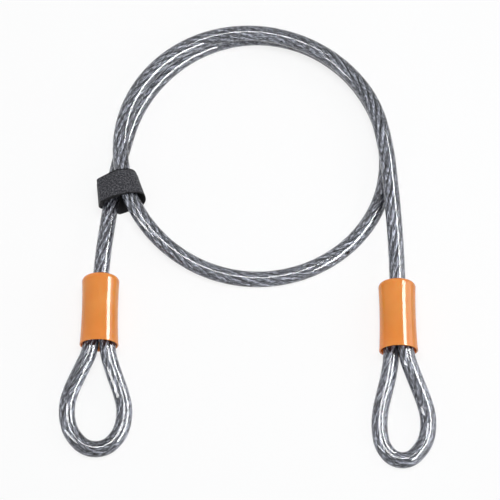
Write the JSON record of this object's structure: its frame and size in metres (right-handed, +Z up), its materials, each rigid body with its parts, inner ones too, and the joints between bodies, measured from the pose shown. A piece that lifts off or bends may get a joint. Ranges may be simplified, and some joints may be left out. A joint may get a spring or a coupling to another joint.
{
  "type": "cable lock",
  "caption": "Looped steel security cable in a clear jacket, lying coiled, with a closed eye under a sleeve cover at each end and a hook-and-loop strap round the coil.",
  "frame": {"origin": "on the floor under the middle of the end units and the strap", "axes": "+X from the left end to the right end, +Y from the eyes towards the coil, +Z up from the floor"},
  "size_m": [0.231, 0.2979, 0.0241],
  "materials": {
    "jacket": "clear glossy vinyl",
    "rope": "galvanised steel wires",
    "sleeve": "pressed, dull",
    "cover": "glossy orange vinyl",
    "loop_fabric": "black knit loops",
    "hook_fabric": "black hooks"
  },
  "bodies": {
    "cable": {"left_lead_jacket": "jacket", "left_lead_rope": "rope", "coil_jacket": "jacket", "coil_rope": "rope", "right_lead_jacket": "jacket", "right_lead_rope": "rope", "left_eye_jacket": "jacket", "left_eye_rope": "rope", "right_eye_jacket": "jacket", "right_eye_rope": "rope", "left_sleeve": "sleeve", "right_sleeve": "sleeve", "left_cover": "cover", "right_cover": "cover"},
    "strap": {"strap_band_loop": "loop_fabric", "strap_band_hook": "hook_fabric"},
    "flap": {"strap_flap_loop": "loop_fabric", "strap_flap_hook": "hook_fabric"}
  },
  "joints": [
    {"name": "strap_slide", "type": "slide", "parent": "cable", "child": "strap", "axis": [-0.2079, 0.9781, 0], "range_m": [0, 0.006]},
    {"name": "strap_flap", "type": "hinge", "parent": "strap", "child": "flap", "pos_m": [-0.08647, 0.0764, 0.02061], "axis": [-0.2104, 0.9771, -0.0301], "range_deg": [0, 80]}
  ]
}
